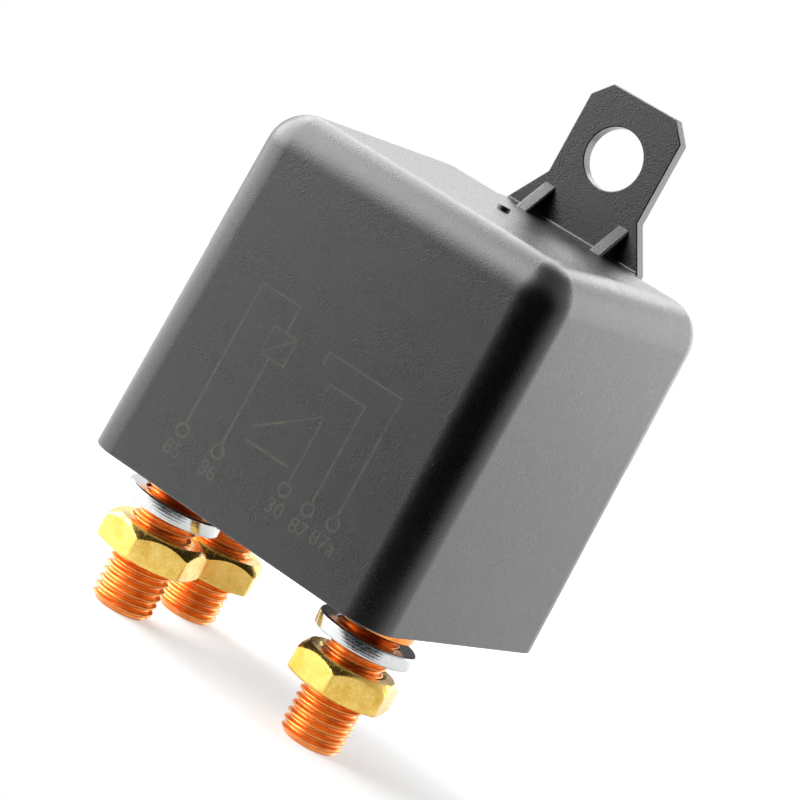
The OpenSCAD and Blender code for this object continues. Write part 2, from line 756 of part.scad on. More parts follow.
// Double-sided contact, riveted through the blade
module moving_contact() {
    color("#d5d6d2") swung() translate([contact_x, contact_y, 0]) {
        translate([0, 0, moving_low]) cylinder(h = contact_h, d = contact_d);
        translate([0, 0, leaf_z - tiny]) cylinder(h = leaf_t + 2 * tiny, d = contact_shank_d);
        translate([0, 0, leaf_z + leaf_t]) cylinder(h = contact_h, d = contact_d);
    }
}

// Side view of the return spring: up the yoke's leg, over the pivot and along the armature
spring_bend = yoke_t / 2 + spring_gap;
spring_mid = arm_z + arm_t + spring_gap - pivot_z - spring_bend;
bend_steps = 8;
spring_centre = [pivot_x, pivot_z + spring_mid];
spring_path = concat(
    [[leg_x + yoke_t + spring_gap + spring_t / 2, leg_top - spring_leg]],
    [for (i = [0:bend_steps]) let (a = i / bend_steps * (90 - open_deg))
        spring_centre + (spring_bend + spring_t / 2) * [cos(a), sin(a)]],
    [spring_centre + (spring_bend + spring_t / 2) * [sin(open_deg), cos(open_deg)]
        + spring_arm * [-cos(open_deg), sin(open_deg)]]
);

module return_spring() {
    color("#b9a06a") translate([0, coil_y, 0]) difference() {
        across_y(spring_w) strip_outline(spring_path, spring_t);
        for (s = [-1, 1]) translate([leg_x, s * spring_w / 4, yoke_rivet_z]) rotate([0, 90, 0])
            cylinder(h = yoke_t + spring_t + 2 * cut, d = rivet_hole_d);
        swung() translate([pivot_x - spring_rivet_in, 0, arm_z + arm_t - cut])
            cylinder(h = spring_t + 3 * cut, d = rivet_hole_d);
    }
}

module spring_rivet() {
    color("#c0c2c4") swung() translate([pivot_x - spring_rivet_in, coil_y, 0])
        rivet(arm_z, arm_z + arm_t + spring_t + 2 * spring_gap);
}

module yoke_rivets() {
    grip = yoke_t + spring_t + 2 * spring_gap;
    color("#c0c2c4") for (s = [-1, 1]) translate([leg_x, coil_y + s * spring_w / 4, yoke_rivet_z])
        rotate([0, 90, 0]) {
            cylinder(h = grip, d = rivet_d);
            translate([0, 0, grip]) cylinder(h = rivet_h, d = rivet_head_d);
        }
}

// Ring of a busbar round the shank of its stud
module eye(at) {
    translate([at[0], at[1], bus_z]) cylinder(h = bus_t, r = eye_r);
}

module eye_hole(at) {
    translate([at[0], at[1], bus_z - cut]) cylinder(h = bus_t + 2 * cut, d = shank_d + 2 * rivet_gap);
}

// Busbar of the common stud: a foot towards the coil and an upright that the braid is welded to
module common_busbar() {
    rise = base_top + common_h - bus_z;
    color("#d08048") difference() {
        union() {
            eye(common_at);
            translate([riser_x + bus_t + bend_r, lug_y, bus_z])
                cube([common_at[0] - riser_x - bus_t - bend_r, braid_w, bus_t]);
            translate([riser_x + bus_t + bend_r, lug_y + braid_w / 2, bus_z + bus_t + bend_r])
                across_y(braid_w) rotate(180) quarter_bend(bend_r, bus_t);
            translate([riser_x, lug_y, bus_z + bus_t + bend_r])
                cube([bus_t, braid_w, rise - bus_t - bend_r]);
        }
        eye_hole(common_at);
    }
}

// Bent strip of a fixed contact: a foot towards the front, an upright whose front face is at y, and a
// top flange whose underside is at top_z, towards the back (side 1) or the front (side -1)
module contact_bracket(y, foot, top_z, reach, side) {
    r = bend_r;
    t = bus_t;
    translate([contact_x - bus_w / 2, y, 0]) rotate([90, 0, 90]) linear_extrude(bus_w) {
        translate([-foot, bus_z]) square([foot - r, t]);
        translate([-r, bus_z + t + r]) rotate(-90) quarter_bend(r, t);
        translate([0, bus_z + t + r]) square([t, top_z - bus_z - t - 2 * r]);
        translate([t / 2, 0]) mirror([side < 0 ? 1 : 0, 0]) translate([-t / 2, 0]) {
            translate([r + t, top_z - r]) rotate(90) quarter_bend(r, t);
            translate([r + t, top_z]) square([reach - r - t, t]);
        }
    }
}

// Busbar of the normally open contact: it stands in front of the barrier and reaches under the blade
open_riser_y = barrier_y - barrier_t / 2 - open_gap - bus_t;
module open_busbar() {
    color("#d08048") difference() {
        union() {
            eye(open_at);
            contact_bracket(open_riser_y, open_riser_y - open_at[1], open_bus_z - bus_t,
                contact_y - open_riser_y + flange_past, 1);
        }
        eye_hole(open_at);
        translate([contact_x, contact_y, open_bus_z - bus_t - cut])
            cylinder(h = bus_t + 2 * cut, d = shank_hole_d);
    }
}

// Busbar of the normally closed contact: it stands behind its stud and reaches over the blade
closed_riser_y = closed_at[1] + eye_r + closed_gap;
module closed_busbar() {
    color("#d08048") difference() {
        union() {
            eye(closed_at);
            contact_bracket(closed_riser_y, closed_riser_y - closed_at[1] + foot_past, closed_bus_z,
                closed_riser_y + bus_t - contact_y + flange_past, -1);
        }
        eye_hole(closed_at);
        translate([open_x, contact_y, closed_bus_z - cut])
            cylinder(h = bus_t + 2 * cut, d = shank_hole_d);
    }
}

// Domed fixed contact with a riveted shank, drawn with its face up at z = 0
module fixed_contact() {
    intersection() {
        translate([0, 0, -contact_h]) cylinder(h = contact_h, d = contact_d);
        translate([0, 0, -dome_r]) sphere(dome_r);
    }
    translate([0, 0, -contact_h - bus_t]) cylinder(h = bus_t + tiny, d = contact_shank_d);
    translate([0, 0, -contact_h - bus_t - clinch_h])
        cylinder(h = clinch_h, r = contact_shank_d / 2 + clinch_step);
}

module open_contact() {
    color("#d5d6d2") translate([contact_x, contact_y, open_face_z]) fixed_contact();
}

module closed_contact() {
    color("#d5d6d2") translate([open_x, contact_y, closed_face_z]) mirror([0, 0, 1]) fixed_contact();
}

// Flat copper braid from the common busbar to the lug of the contact blade
module braid() {
    color("#c77a45") translate([0, lug_y + braid_w / 2, 0])
        across_y(braid_w) strip_outline(braid_path, braid_t);
}

cover();
base();
base_seal();
stud_common();
stud_open();
stud_closed();
washer_common();
washer_open();
washer_closed();
nut_common();
nut_open();
nut_closed();
coil_blade_left();
coil_blade_right();
yoke();
core();
bobbin();
winding();
coil_leads();
armature();
contact_carrier();
contact_blade();
moving_contact();
armature_rivets();
blade_rivets();
return_spring();
yoke_rivets();
spring_rivet();
common_busbar();
open_busbar();
closed_busbar();
open_contact();
closed_contact();
braid();
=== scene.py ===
import json
import math
import bmesh
import bpy
from mathutils import Matrix, Vector


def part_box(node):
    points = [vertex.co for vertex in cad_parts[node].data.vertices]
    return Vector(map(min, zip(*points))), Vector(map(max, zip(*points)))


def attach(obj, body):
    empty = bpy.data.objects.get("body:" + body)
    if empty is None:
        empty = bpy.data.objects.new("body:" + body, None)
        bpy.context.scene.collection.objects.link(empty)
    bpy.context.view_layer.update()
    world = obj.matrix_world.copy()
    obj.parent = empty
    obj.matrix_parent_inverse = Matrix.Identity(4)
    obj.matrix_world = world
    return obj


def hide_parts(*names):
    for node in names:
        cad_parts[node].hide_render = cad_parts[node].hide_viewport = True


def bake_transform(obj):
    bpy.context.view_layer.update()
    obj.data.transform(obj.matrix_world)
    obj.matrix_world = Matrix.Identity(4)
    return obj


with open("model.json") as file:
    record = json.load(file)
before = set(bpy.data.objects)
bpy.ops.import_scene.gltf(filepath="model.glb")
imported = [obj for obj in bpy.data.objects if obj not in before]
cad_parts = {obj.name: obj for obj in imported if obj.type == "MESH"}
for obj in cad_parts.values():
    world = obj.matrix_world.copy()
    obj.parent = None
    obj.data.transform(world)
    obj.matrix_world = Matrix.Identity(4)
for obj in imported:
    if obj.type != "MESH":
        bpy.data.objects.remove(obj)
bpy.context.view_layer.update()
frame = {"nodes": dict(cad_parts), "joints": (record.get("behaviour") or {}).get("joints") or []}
scene = bpy.context.scene


# Camera. A long lens looks at the relay from the front right, a little from above, and is rolled so
# that the upright relay leans in the picture as the photographed one does.
MM = 0.001
camera_target = Vector((0.22, 0.09, 38.68)) * MM
camera_distance = 455 * MM
camera_azimuth = math.radians(27.333)
camera_elevation = math.radians(8.151)
camera_roll = math.radians(28.76)
camera = bpy.data.objects.new("camera", bpy.data.cameras.new("camera"))
camera.data.lens = 171.34
camera.data.sensor_width = 36
tipped = Matrix.Rotation(math.pi / 2 - camera_elevation, 4, "X")
level = Matrix.Rotation(camera_azimuth, 4, "Z") @ tipped
towards_camera = level.to_3x3() @ Vector((0, 0, 1))
camera.matrix_world = (
    Matrix.Translation(camera_target + towards_camera * camera_distance)
    @ level
    @ Matrix.Rotation(camera_roll, 4, "Z")
)
scene.collection.objects.link(camera)
scene.camera = camera


# Cover. One moulding in black plastic with a fine eroded grain: a drafted box, open below, with a
# mounting tab that grows out of its back wall. Two gussets brace the tab on the roof, where the cut
# stub of the mould's gate also stands.
class Wire:
    """A number in a node tree. Arithmetic on it adds Math nodes."""

    def __init__(self, graph, socket):
        self.graph = graph
        self.socket = socket

    def math(self, operation, *others):
        return self.graph.maths(operation, self, *others)

    def __add__(self, other):
        return self.math("ADD", other)

    def __sub__(self, other):
        return self.math("SUBTRACT", other)

    def __mul__(self, other):
        return self.math("MULTIPLY", other)

    def __truediv__(self, other):
        return self.math("DIVIDE", other)

    def __lt__(self, other):
        return self.math("LESS_THAN", other)

    def __gt__(self, other):
        return self.math("GREATER_THAN", other)

    def __radd__(self, other):
        return self.graph.maths("ADD", other, self)

    def __rsub__(self, other):
        return self.graph.maths("SUBTRACT", other, self)

    def __rmul__(self, other):
        return self.graph.maths("MULTIPLY", other, self)

    def clamp(self):
        return self.graph.add("ShaderNodeClamp", {}, {"Value": self})

    def beside(self, output):
        """Another output of the same node."""
        return Wire(self.graph, self.socket.node.outputs[output])


class Graph:
    """A node tree that is filled one node at a time."""

    def __init__(self, tree):
        self.tree = tree

    def plug(self, node, inputs):
        """Fills a node's inputs, given by name or number, with plain values or with wires."""
        for name, value in inputs.items():
            if isinstance(name, str):
                socket = next(s for s in node.inputs if s.enabled and s.name == name)
            else:
                socket = node.inputs[name]
            if isinstance(value, Wire):
                self.tree.links.new(value.socket, socket)
            else:
                socket.default_value = value

    def add(self, kind, settings, inputs, output=0):
        """Adds a node and returns one of its outputs; its settings are made before its sockets."""
        node = self.tree.nodes.new(kind)
        for name, value in settings.items():
            setattr(node, name, value)
        self.plug(node, inputs)
        if isinstance(output, int):
            return Wire(self, node.outputs[output])
        return Wire(self, next(s for s in node.outputs if s.enabled and s.name == output))

    def maths(self, operation, *values):
        return self.add("ShaderNodeMath", {"operation": operation}, dict(enumerate(values)))

    def vector(self, operation, *values, output=0):
        settings = {"operation": operation}
        return self.add("ShaderNodeVectorMath", settings, dict(enumerate(values)), output)


class Finish(Graph):
    """A surface finish whose patterns are laid out in millimetres on the piece itself."""

    def __init__(self, name, **constants):
        self.material = bpy.data.materials.new(name)
        self.material.use_nodes = True
        super().__init__(self.material.node_tree)
        self.shader = self.tree.nodes["Principled BSDF"]
        self.set(**constants)
        place = self.add("ShaderNodeTexCoord", {}, {}, "Object")
        self.place = self.vector("MULTIPLY", place, (1 / MM,) * 3)

    def set(self, **inputs):
        self.plug(self.shader, {name.replace("_", " "): value for name, value in inputs.items()})

    def noise(self, per_mm, detail):
        inputs = {"Vector": self.place, "Scale": per_mm, "Detail": detail}
        return self.add("ShaderNodeTexNoise", {}, inputs, "Fac")

    def mix(self, factor, first, second):
        inputs = {"Factor": factor, "A": first, "B": second}
        return self.add("ShaderNodeMix", {"data_type": "RGBA"}, inputs, "Result")

    def bump(self, height, depth):
        """Raises the surface's light and shade by a depth in millimetres."""
        inputs = {"Height": height, "Distance": depth * MM, "Strength": 1.0}
        self.set(Normal=self.add("ShaderNodeBump", {}, inputs, "Normal"))


patch_per_mm, patch_detail, patch_level, patch_dulls = 0.35, 4, 0.5, 0.08
grain_per_mm, grain_detail, grain_level, grain_contrast = 6.5, 2, 0.58, 7.0
grain_lift, grain_dulls = 0.013, 0.06
speck_per_mm, speck_r, speck_lift, chance_per_mm, chance_level = 0.42, 0.026, 0.25, 0.9, 0.58


def moulded(name, colour, roughness, grain_depth, gloss):
    """Moulded plastic with the grain of its tool, dull patches and a few pale specks of dust."""
    finish = Finish(name, Specular_IOR_Level=gloss)
    patches = finish.noise(patch_per_mm, patch_detail)
    grain = finish.noise(grain_per_mm, grain_detail)
    inputs = {"Vector": finish.place, "Scale": speck_per_mm}
    from_speck = finish.add("ShaderNodeTexVoronoi", {}, inputs, "Distance")
    chance = finish.noise(chance_per_mm, 0)
    specks = (from_speck < speck_r) * (chance > chance_level)
    pale = tuple(min(1, part * 8 + speck_lift) for part in colour[:3]) + (1,)
    light = tuple(part * 1.1 + grain_lift for part in colour[:3]) + (1,)
    rubbed = ((patches - patch_level) + (grain - grain_level) * grain_contrast).clamp()
    ground = finish.mix(rubbed, colour, light)
    dulled = patch_dulls * (patches - patch_level) + grain_dulls * (grain - 0.5)
    finish.set(Base_Color=finish.mix(specks, ground, pale), Roughness=roughness + dulled)
    finish.bump(grain, grain_depth)
    return finish.material


def at(x, y, z):
    """A point given in millimetres."""
    return Vector((x, y, z)) * MM


def round_turns(count):
    """The angles of so many points evenly round a circle."""
    return [2 * math.pi * i / count for i in range(count)]


def off_axis(axis, r, turn, z):
    """A point at a radius and an angle from an upright axis, all in millimetres."""
    return at(axis.x + r * math.cos(turn), axis.y + r * math.sin(turn), z)


def loft(name, rings, hoop=False):
    """A closed solid through rings of points; a hoop joins its last ring to its first, and without
    one the ends close."""
    mesh = bmesh.new()
    loops = [[mesh.verts.new(point) for point in ring] for ring in rings]
    count = len(loops[0])
    pairs = list(zip(loops, loops[1:])) + ([(loops[-1], loops[0])] if hoop else [])
    for low, high in pairs:
        for i in range(count):
            j = (i + 1) % count
            mesh.faces.new((low[i], low[j], high[j], high[i]))
    if not hoop:
        mesh.faces.new(reversed(loops[0]))
        mesh.faces.new(loops[-1])
    return finished(name, mesh)


def finished(name, mesh):
    """Turns a bmesh into an object, with its doubles merged and its faces turned outwards."""
    bmesh.ops.remove_doubles(mesh, verts=mesh.verts, dist=1e-7)
    bmesh.ops.recalc_face_normals(mesh, faces=mesh.faces)
    data = bpy.data.meshes.new(name)
    mesh.to_mesh(data)
    mesh.free()
    piece = bpy.data.objects.new(name, data)
    scene.collection.objects.link(piece)
    return piece


def evaluated(piece):
    """Makes a piece's modifiers, or a curve's or text's form, into its plain mesh."""
    graph = bpy.context.evaluated_depsgraph_get()
    data = bpy.data.meshes.new_from_object(piece.evaluated_get(graph))
    name = piece.name
    bpy.data.objects.remove(piece)
    solid = bpy.data.objects.new(name, data)
    data.name = name
    scene.collection.objects.link(solid)
    return solid


def fused(piece, others):
    """One solid from a piece and what grows out of it."""
    for other in others:
        union = piece.modifiers.new("union", "BOOLEAN")
        union.object = other
        union.operation = "UNION"
        union.solver = "EXACT"
    result = evaluated(piece)
    for other in others:
        bpy.data.objects.remove(other)
    return result


def weighted(piece, sharp_above=35):
    """Shades a piece smoothly between its flats; each flat is made one large face, which keeps its
    own normal."""
    mesh = bmesh.new()
    mesh.from_mesh(piece.data)
    bmesh.ops.dissolve_limit(mesh, angle_limit=math.radians(0.2), verts=mesh.verts, edges=mesh.edges)
    mesh.to_mesh(piece.data)
    mesh.free()
    piece.data.shade_smooth()
    piece.data.set_sharp_from_angle(angle=math.radians(sharp_above))
    normals = piece.modifiers.new("flats", "WEIGHTED_NORMAL")
    normals.keep_sharp = True
    return evaluated(piece)


def paint(piece, finish):
    """Gives a piece one material in place of its own."""
    piece.data.materials.clear()
    piece.data.materials.append(finish)


def dress(piece, finish, body, slot, *nodes):
    """Gives a finished piece its material, hangs it on its body and hides the CAD nodes that it
    stands for.
    """
    paint(piece, finish)
    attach(piece, body)
    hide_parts(*nodes)


def rounded_ring(half_x, half_y, radius, z, steps=12):
    """A rectangle of points with rounded corners, level at a height."""
    ring = []
    for quarter, (side_x, side_y) in enumerate(((1, 1), (-1, 1), (-1, -1), (1, -1))):
        for step in range(steps + 1):
            turn = math.radians(90 * (quarter + step / steps))
            x = side_x * (half_x - radius) + radius * math.cos(turn)
            y = side_y * (half_y - radius) + radius * math.sin(turn)
            ring.append(at(x, y, z))
    return ring


def plate(name, outline, thickness, edge, hole=None):
    """A flat plate in the XZ plane with rounded edges; its back face is at y = 0 and its front face
    nearer to the label side."""
    curve = bpy.data.curves.new(name, "CURVE")
    curve.dimensions = "2D"
    curve.fill_mode = "BOTH"
    curve.extrude = (thickness / 2 - edge) * MM
    curve.bevel_depth = edge * MM
    curve.bevel_resolution = 3
    curve.offset = -edge * MM
    for points in [outline] + ([hole] if hole else []):
        spline = curve.splines.new("POLY")
        spline.points.add(len(points) - 1)
        spline.use_cyclic_u = True
        for point, (x, z) in zip(spline.points, points):
            point.co = (x * MM, z * MM, 0, 1)
    piece = bpy.data.objects.new(name, curve)
    scene.collection.objects.link(piece)
    piece = evaluated(piece)
    upright = Matrix.Rotation(math.pi / 2, 4, "X")
    piece.data.transform(Matrix.Translation((0, -thickness / 2 * MM, 0)) @ upright)
    return remade(piece)


def remade(piece):
    """Merges a piece's doubles and turns its faces outwards."""
    mesh = bmesh.new()
    mesh.from_mesh(piece.data)
    name = piece.name
    bpy.data.objects.remove(piece)
    bmesh.ops.remove_doubles(mesh, verts=mesh.verts, dist=1e-6)
    return finished(name, mesh)


def slab(name, profile, from_x, to_x):
    """A bar along X with a profile of (y, z) points."""
    return loft(name, [[at(x, y, z) for y, z in profile] for x in (from_x, to_x)])


cover_low, cover_high = (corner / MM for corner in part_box("cover"))
body_x, body_y = cover_high.x, -cover_low.y
tab_rise, seat_depth, ledge = 18.7, 3.5, 0.3
mouth_z = cover_low.z
roof_z = cover_high.z - tab_rise
corner_r, roof_r, cover_wall, lip_r = 4.7, 5.0, 1.8, 0.15
lean = math.tan(math.radians(0.77))
shoulder_z = roof_z - roof_r
top_x = body_x - (roof_z - mouth_z - roof_r) * lean
top_y = body_y - (roof_z - mouth_z - roof_r) * lean
seat_z = mouth_z + seat_depth
fillet_steps = 12

cover_rings = []
inner_r = roof_r - cover_wall
for step in range(fillet_steps, -1, -1):
    turn = math.radians(90 * step / fillet_steps)
    inset = cover_wall + inner_r * (1 - math.cos(turn))
    z = shoulder_z + inner_r * math.sin(turn)
    cover_rings.append(rounded_ring(top_x - inset, top_y - inset, inner_r * math.cos(turn), z))
for inset, radius, z in (
    (cover_wall + ledge, corner_r - cover_wall - ledge, seat_z),
    (cover_wall, corner_r - cover_wall, seat_z),
    (cover_wall, corner_r - cover_wall, mouth_z),
    (lip_r, corner_r - lip_r, mouth_z),
    (0, corner_r, mouth_z + lip_r),
):
    cover_rings.append(rounded_ring(body_x - inset, body_y - inset, radius, z))
for step in range(fillet_steps + 1):
    turn = math.radians(90 * step / fillet_steps)
    inset = roof_r * (1 - math.cos(turn))
    z = shoulder_z + roof_r * math.sin(turn)
    cover_rings.append(rounded_ring(top_x - inset, top_y - inset, roof_r * math.cos(turn), z))
cover = loft("moulded_cover", cover_rings)

tab_half, tab_t, tab_edge = 7.05, 1.9, 0.15
bevel_w, bevel_h, wing_w, wing_h = 2.2, 2.4, 3.4, 5.4
hole_r, hole_up, hole_steps = 4.0, 10.7, 64
tab_back = body_y - (roof_z - mouth_z) * lean
tab_front = tab_back - tab_t
tab_side = [
    (tab_half + wing_w, roof_z - roof_r),
    (tab_half + wing_w, roof_z),
    (tab_half, roof_z + wing_h),
    (tab_half, cover_high.z - bevel_h),
    (tab_half - bevel_w, cover_high.z),
]
tab_outline = tab_side + [(-x, z) for x, z in reversed(tab_side)]
tab_hole = [
    (hole_r * math.cos(turn), roof_z + hole_up + hole_r * math.sin(turn))
    for turn in round_turns(hole_steps)
]
tab = plate("tab", tab_outline, tab_t, tab_edge, tab_hole)
tab.data.transform(Matrix.Translation((0, tab_back * MM, 0)))

foot_r, foot_steps, foot_sunk, land_depth, land_short = 0.3, 6, 0.3, 1.5, 0.1
land_front, land_back, land_low = top_y - roof_r, tab_front + foot_sunk, roof_z - land_depth
land_profile = [
    (land_front, roof_z),
    (land_front, land_low),
    (land_back, land_low),
    (land_back, roof_z),
]
land_half = tab_half + wing_w - land_short
land = slab("land", land_profile, -land_half, land_half)
fillet_profile = [(land_back, roof_z + foot_r), (land_back, roof_z - foot_sunk)]
fillet_profile.append((tab_front - foot_r, roof_z - foot_sunk))
for step in range(foot_steps, -1, -1):
    turn = math.radians(90 * step / foot_steps)
    y = tab_front - foot_r * (1 - math.cos(turn))
    fillet_profile.append((y, roof_z + foot_r * (1 - math.sin(turn))))
fillet_half = tab_half + wing_w - foot_r
foot_fillet = slab("foot_fillet", fillet_profile, -fillet_half, fillet_half)

gusset_out, gusset_t, gusset_h, gusset_l, gusset_edge = 6.75, 1.8, 4.2, 3.8, 0.25
into_tab, into_roof, past_top, past_toe, toe_drop = 0.5, 0.9, 0.4, 0.2, 0.05
gusset_outline = [
    (tab_front + into_tab, roof_z - into_roof),
    (tab_front + into_tab, roof_z + gusset_h + past_top),
    (tab_front - gusset_l - past_toe, roof_z - toe_drop),
    (tab_front - gusset_l - past_toe, roof_z - into_roof),
]
gussets = []
for side in (-1, 1):
    gusset = plate("gusset", gusset_outline, gusset_t, gusset_edge)
    gusset.data.transform(Matrix.Rotation(math.pi / 2, 4, "Z"))
    middle = side * (gusset_out - gusset_t / 2)
    gusset.data.transform(Matrix.Translation(((middle - gusset_t / 2) * MM, 0, 0)))
    gussets.append(gusset)

stub_axis, stub_turns = Vector((-0.6, 1.4)), round_turns(32)
stub_profile = [(0.8, -into_roof), (0.8, 0.5), (0.74, 0.57), (0.6, 0.6), (0.2, 0.56)]
stub = loft(
    "gate_stub",
    [[off_axis(stub_axis, r, turn, roof_z + up) for turn in stub_turns] for r, up in stub_profile],
)
cover = fused(cover, [tab, land, foot_fillet, *gussets, stub])
cover_grain, cover_gloss = 0.036, 0.75
cover_black = moulded("cover_plastic", (0.0012, 0.0012, 0.0014, 1), 0.28, cover_grain, cover_gloss)
dress(weighted(cover), cover_black, "housing", "cover_plastic", "cover")


# Print on the front. Thin olive-grey ink, pad printed and nearly worn to the colour of the plastic:
# the changeover circuit with a ring for each terminal and the usual terminal numbers under the rings.
ink_w, ink_t, ring_r, number_h, figure_share = 0.32, 0.016, 0.8, 1.9, 0.72
number_drop = 3.3
rings = {
    "85": (-11.5, 7.3),
    "86": (-6.0, 7.5),
    "30": (4.1, 8.2),
    "87": (8.0, 7.8),
    "87a": (11.7, 8.0),
}
circuit = [
    [(-11.5, 8.1), (-11.5, 27.0), (-5.6, 27.0), (-5.6, 23.5)],
    [(-7.4, 20.0), (-3.8, 20.0), (-3.8, 23.5), (-7.4, 23.5), (-7.4, 20.0), (-3.8, 23.5)],
    [(-6.0, 8.3), (-6.0, 20.0)],
    [(4.1, 9.0), (4.1, 17.8), (-3.6, 12.3)],
    [(-3.6, 10.6), (3.0, 10.6)],
    [(8.0, 8.6), (8.0, 21.3), (2.6, 21.3), (2.6, 20.2)],
    [(11.7, 8.8), (11.7, 24.4), (0.6, 24.4), (0.6, 22.8)],
]


def on_front(x, up):
    """Lays a flat drawing on the leaning front face, its origin at x and a height above the mouth."""
    place = at(x, -body_y + up * lean, mouth_z + up)
    return Matrix.Translation(place) @ Matrix.Rotation(math.pi / 2 - math.atan(lean), 4, "X")


def path_curve(name, paths, closed=()):
    """Straight runs between points; closed holds the numbers of the paths that are loops."""
    curve = bpy.data.curves.new(name, "CURVE")
    curve.dimensions = "3D"
    for number, points in enumerate(paths):
        spline = curve.splines.new("POLY")
        spline.points.add(len(points) - 1)
        spline.use_cyclic_u = number in closed
        for point, spot in zip(spline.points, points):
            point.co = (*spot, 1)
    piece = bpy.data.objects.new(name, curve)
    scene.collection.objects.link(piece)
    return piece


class Maker(Graph):
    """A Geometry Nodes tree with named inputs, run on one piece and then made plain."""

    def __init__(self, name, inputs):
        tree = bpy.data.node_groups.new(name, "GeometryNodeTree")
        super().__init__(tree)
        tree.interface.new_socket("Geometry", in_out="INPUT", socket_type="NodeSocketGeometry")
        self.sockets = {}
        for title, kind in inputs.items():
            socket = tree.interface.new_socket(title, in_out="INPUT", socket_type="NodeSocket" + kind)
            self.sockets[title] = socket.identifier
        tree.interface.new_socket("Geometry", in_out="OUTPUT", socket_type="NodeSocketGeometry")
        self.entry = tree.nodes.new("NodeGroupInput")
        self.given = Wire(self, self.entry.outputs["Geometry"])

    def value(self, title):
        return Wire(self, self.entry.outputs[title])

    def end(self, geometry):
        """Closes the tree: instances are made real and the material is set."""
        real = self.add("GeometryNodeRealizeInstances", {}, {"Geometry": geometry})
        inputs = {"Geometry": real, "Material": self.value("Material")}
        painted = self.add("GeometryNodeSetMaterial", {}, inputs)
        self.plug(self.tree.nodes.new("NodeGroupOutput"), {"Geometry": painted})

    def sweep(self, path, section):
        """A solid rod along a path, with a section and closed ends."""
        inputs = {"Curve": path, "Profile Curve": section, "Fill Caps": True}
        return self.add("GeometryNodeCurveToMesh", {}, inputs)

    def wire_section(self, radius):
        """The section of a thin wire, which needs only a few sides."""
        return self.add("GeometryNodeCurvePrimitiveCircle", {}, {"Resolution": 6, "Radius": radius})

    def run(self, piece, values):
        modifier = piece.modifiers.new("maker", "NODES")
        modifier.node_group = self.tree
        for title, value in values.items():
            modifier[self.sockets[title]] = value
        return evaluated(piece)


ribbon = Maker("ribbon", {"Width": "Float", "Thickness": "Float", "Material": "Material"})
ribbon_path = ribbon.add("GeometryNodeSetCurveNormal", {"mode": "Z_UP"}, {"Curve": ribbon.given})
ribbon_section = ribbon.add(
    "GeometryNodeCurvePrimitiveQuadrilateral",
    {},
    {"Width": ribbon.value("Width"), "Height": ribbon.value("Thickness")},
)
ribbon.end(ribbon.sweep(ribbon_path, ribbon_section))

print_ink = Finish("print_ink", Specular_IOR_Level=cover_gloss)
worn_level, worn_contrast = 0.25, 3.0
worn = ((print_ink.noise(0.9, 5) - worn_level) * worn_contrast).clamp()
print_ink.set(
    Base_Color=print_ink.mix(worn, (0.007, 0.007, 0.004, 1), (0.034, 0.031, 0.014, 1)),
    Roughness=0.32 + 0.05 * worn,
)
print_ink.bump(print_ink.noise(grain_per_mm, grain_detail), cover_grain)

paths = [
    [off_axis(Vector(centre), ring_r, turn, 0) for turn in round_turns(32)]
    for centre in rings.values()
]
paths += [[at(x, z, 0) for x, z in points] for points in circuit]
lines = ribbon.run(
    path_curve("front_print", paths, closed=range(len(rings))),
    {"Width": ink_w * MM, "Thickness": ink_t * MM, "Material": print_ink.material},
)
lines.data.shade_flat()
lines.data.transform(on_front(0, 0))
printed = [lines]
for number, (x, z) in rings.items():
    text = bpy.data.curves.new("terminal_number", "FONT")
    text.body = number
    text.size = number_h / figure_share * MM
    text.align_x = "CENTER"
    text.extrude = ink_t / 2 * MM
    label = bpy.data.objects.new("terminal_number", text)
    scene.collection.objects.link(label)
    label = evaluated(label)
    label.data.transform(on_front(x, z - number_drop))
    printed.append(label)


def joined(name, pieces):
    """One mesh that holds several."""
    mesh = bmesh.new()
    for piece in pieces:
        mesh.from_mesh(piece.data)
        bpy.data.objects.remove(piece)
    data = bpy.data.meshes.new(name)
    mesh.to_mesh(data)
    mesh.free()
    piece = bpy.data.objects.new(name, data)
    scene.collection.objects.link(piece)
    return piece


dress(joined("front_print", printed), print_ink.material, "housing", "cover_plastic")


# Base and its seal. A black moulding that closes the cover from below; brown casting resin fills
# the groove round it and stands a little rough where it was poured.
base_black = moulded("base_plastic", (0.010, 0.010, 0.011, 1), 0.6, 0.03, 0.3)
paint(frame["nodes"]["base"], base_black)

resin = Finish("casting_resin", Coat_Roughness=0.15)
flow = resin.noise(0.8, 4)
resin.set(
    Base_Color=resin.mix(flow, (0.030, 0.017, 0.010, 1), (0.10, 0.055, 0.030, 1)),
    Roughness=0.22 + 0.25 * flow,
)
resin.bump(flow, 0.25)
paint(frame["nodes"]["base_seal"], resin.material)


# Studs. Copper bar, turned with a collar that bears on the base, then rolled with a fine M8 thread
# from the bevelled end up to the collar; the top is peened over a busbar inside the housing.
cut_rate, rub_per_mm, rub_dulls = 17.0, 2.6, 0.16
stain_per_mm, stain_detail, stain_level, stain_contrast, stain_dulls = 0.55, 5, 0.42, 3.2, 0.10


def turned(name, colour, dark, roughness, depth, rings=0.35):
    """Turned metal: bright cut faces with fine rings round the axis and darker, handled patches."""
    finish = Finish(name, Metallic=1.0)
    height = finish.add("ShaderNodeSeparateXYZ", {}, {"Vector": finish.place}, "Z")
    cuts = (height * cut_rate).math("SINE")
    stain = finish.noise(stain_per_mm, stain_detail)
    rub = finish.noise(rub_per_mm, 1)
    dulled = rub_dulls * (rub - 0.5) + stain_dulls * ((stain - 0.5) * 2).clamp()
    finish.set(
        Base_Color=finish.mix(((stain - stain_level) * stain_contrast).clamp(), colour, dark),
        Roughness=roughness + dulled,
    )
    finish.bump(cuts * rings + rub, depth)
    return finish.material


